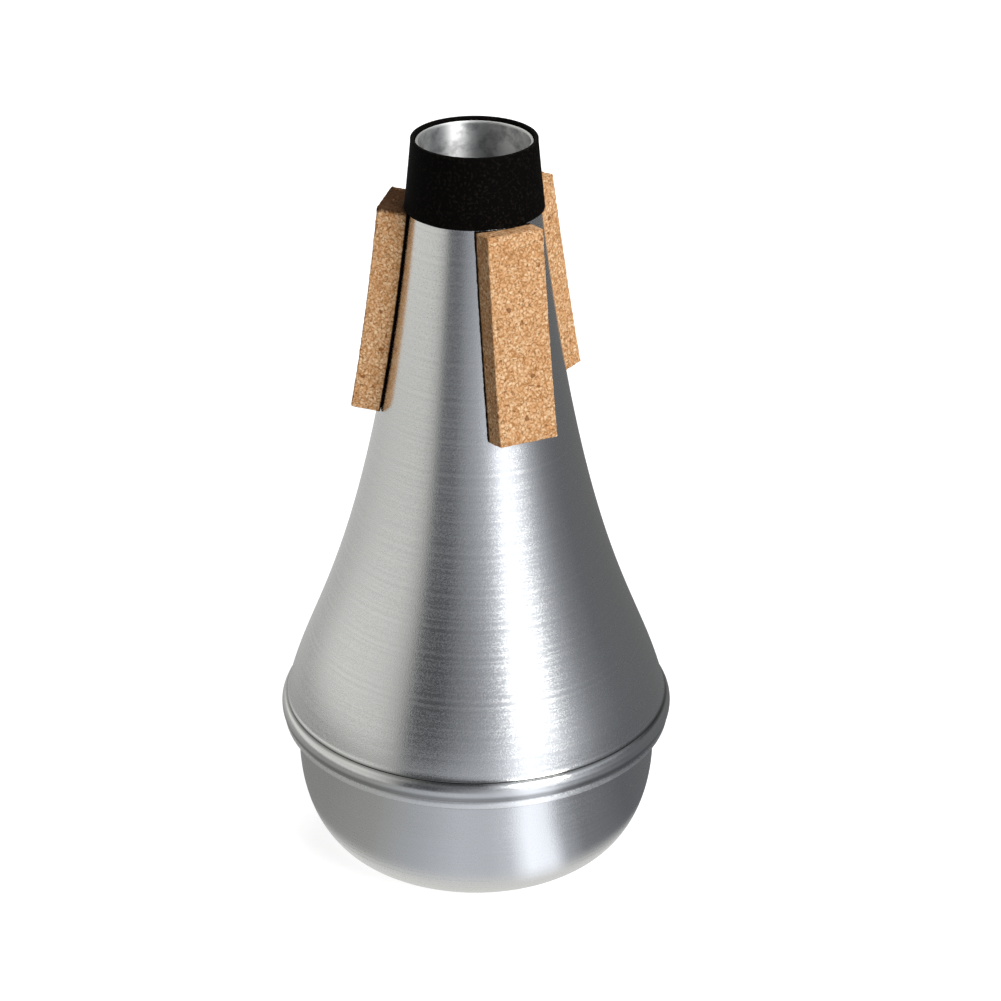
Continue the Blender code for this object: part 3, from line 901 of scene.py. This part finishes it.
def paper_wall():
    """Paper, cloth and board that glow in tones set by the angle round the axis."""
    material, tree, output = new_material("graded_paper")
    place = add(tree, "ShaderNodeTexCoord").outputs["Object"]
    turned = add(tree, "ShaderNodeMapping", {"Vector": place,
                                             "Rotation": (0, 0, math.radians(90 - CAMERA_AZIMUTH))})
    angle = add(tree, "ShaderNodeTexGradient", {0: turned.outputs[0]}, gradient_type="RADIAL")
    wall, cloth, board, ceiling = [tones_by_angle(tree, angle.outputs["Fac"], tones) for tones in (
        WALL_TONES, CLOTH_TONES, BOARD_TONES, CEILING_TONES)]
    radius = radius_at(tree, place)
    height = add(tree, "ShaderNodeSeparateXYZ", {0: place}).outputs["Z"]
    table = add(tree, "ShaderNodeMix", {"Factor": ranged(tree, radius, *CLOTH_EDGE), 6: cloth, 7: board},
                data_type="RGBA").outputs[2]
    fading = ranged(tree, height, *WALL_FADE_HEIGHTS, *WALL_FADE)
    faded = add(tree, "ShaderNodeVectorMath", {0: wall, "Scale": fading}, operation="SCALE").outputs[0]
    sides = add(tree, "ShaderNodeMix", {"Factor": ranged(tree, radius, *BOARD_EDGE), 6: table, 7: faded},
                data_type="RGBA").outputs[2]
    all_round = add(tree, "ShaderNodeMix", {"Factor": ranged(tree, height, *ROOF_HEIGHTS), 6: sides,
                                            7: ceiling}, data_type="RGBA").outputs[2]
    base = BASE_TONE / TONE_SCALE
    lit = add(tree, "ShaderNodeMix", {"Factor": ranged(tree, radius, *BASE_EDGE), 6: all_round,
                                      7: (base, base, base, 1.0)}, data_type="RGBA").outputs[2]
    glow = add(tree, "ShaderNodeEmission", {"Color": lit, "Strength": TONE_SCALE})
    tree.links.new(glow.outputs[0], output.inputs["Surface"])
    return material


print(f"the table reaches {BOARD_EDGE[0]} m out before it blends into the wall")

# %% [markdown]
# The set is one turned sheet: flat on the table, curved up into the wall, and closed above to a roof
# with a small hole.

# %% Curved paper wall for the reflections
TABLE_HALF = 0.9
SWEEP_RADIUS = 0.4
WALL_RADIUS = TABLE_HALF + SWEEP_RADIUS
WALL_TOP = 1.6
ROOF_HOLE = 0.1
ROOF_HEIGHT = 2.3
SHEET_DROP = 0.1 * MM        # keeps the sheet under the mute and over the floor
wall_bm = bmesh.new()
wall_line = joined(np.array([[0.01, -SHEET_DROP], [TABLE_HALF, -SHEET_DROP]]),
                   arc((TABLE_HALF, SWEEP_RADIUS), SWEEP_RADIUS, -math.pi / 2, 0, 12),
                   np.array([[WALL_RADIUS, WALL_TOP], [ROOF_HOLE, ROOF_HEIGHT]]))
wall_verts = [wall_bm.verts.new((radius, 0.0, height)) for radius, height in wall_line]
wall_edges = [wall_bm.edges.new(pair) for pair in zip(wall_verts, wall_verts[1:])]
bmesh.ops.spin(wall_bm, geom=wall_verts + wall_edges, cent=(0, 0, 0), axis=(0, 0, 1), angle=2 * math.pi,
               steps=96, use_merge=True)
paper = stage_piece("paper_wall", wall_bm, paper_wall())
paper.visible_camera = False
paper.visible_diffuse = False
paper.visible_transmission = False
paper.visible_shadow = False
print("the paper wall has", len(paper.data.polygons), "faces")

# %% [markdown]
# The cork and the rubber need real light. A softbox stands high on the right, where the photograph's
# shadows say that it was, and also lights the inside of the mouth. Two weaker ones, straight above and
# behind, fill the shadows from there. The metal doesn't mirror those two.

# %% Lamps
def softbox(name, watts, size, azimuth, distance, height, tilt):
    """A square soft lamp at an azimuth from the camera. Tilt 0 looks down and 90 looks level."""
    data = bpy.data.lights.new(name, "AREA")
    data.shape = "SQUARE"
    data.size = size
    data.energy = watts
    lamp = bpy.data.objects.new(name, data)
    bpy.context.scene.collection.objects.link(lamp)
    turn = math.radians(CAMERA_AZIMUTH + azimuth)
    lamp.location = (distance * math.sin(turn), -distance * math.cos(turn), height)
    lamp.rotation_euler = (math.radians(tilt), 0, turn)
    lamp.visible_camera = False
    return lamp


softbox("key_softbox", watts=14.4, size=0.6, azimuth=38.0, distance=1.2, height=0.8, tilt=60.0)
fill_lamps = [
    softbox("top_softbox", watts=6.0, size=1.0, azimuth=0.0, distance=0.0, height=1.6, tilt=0.0),
    softbox("back_softbox", watts=9.0, size=0.8, azimuth=165.0, distance=1.2, height=0.8, tilt=60.0)]
for lamp in fill_lamps:
    lamp.visible_glossy = False
print("one key lamp and", len(fill_lamps), "fill lamps")

# %% [markdown]
# ## Camera
#
# The camera stands where the photographer's did. Its distance, height and lens were worked out from
# the ellipses of the seam and the neck, and a small shift frames the mute left of the middle.

# %% Camera
LENS = 108.0
SENSOR = 36.0
FRAME_SHIFT = 0.0250
CAMERA_DISTANCE = 0.8871
CAMERA_HEIGHT = 0.567
CAMERA_PITCH = 63.49
CAMERA_ROLL = -0.18
camera_data = bpy.data.cameras.new("photo_camera")
camera_data.lens = LENS
camera_data.sensor_width = SENSOR
camera_data.shift_x = FRAME_SHIFT
camera = bpy.data.objects.new("photo_camera", camera_data)
bpy.context.scene.collection.objects.link(camera)
camera_turn = math.radians(CAMERA_AZIMUTH)
camera.location = (CAMERA_DISTANCE * math.sin(camera_turn), -CAMERA_DISTANCE * math.cos(camera_turn),
                   CAMERA_HEIGHT)
turn_matrix = Matrix.Rotation(camera_turn, 4, "Z")
pitch_matrix = Matrix.Rotation(math.radians(CAMERA_PITCH), 4, "X")
roll_matrix = Matrix.Rotation(math.radians(CAMERA_ROLL), 4, "Z")
camera.rotation_euler = (turn_matrix @ pitch_matrix @ roll_matrix).to_euler()
bpy.context.scene.camera = camera
bpy.context.scene.view_settings.view_transform = "Standard"
print(f"the camera is {camera.location.length:.2f} m from the middle of the mute's foot")
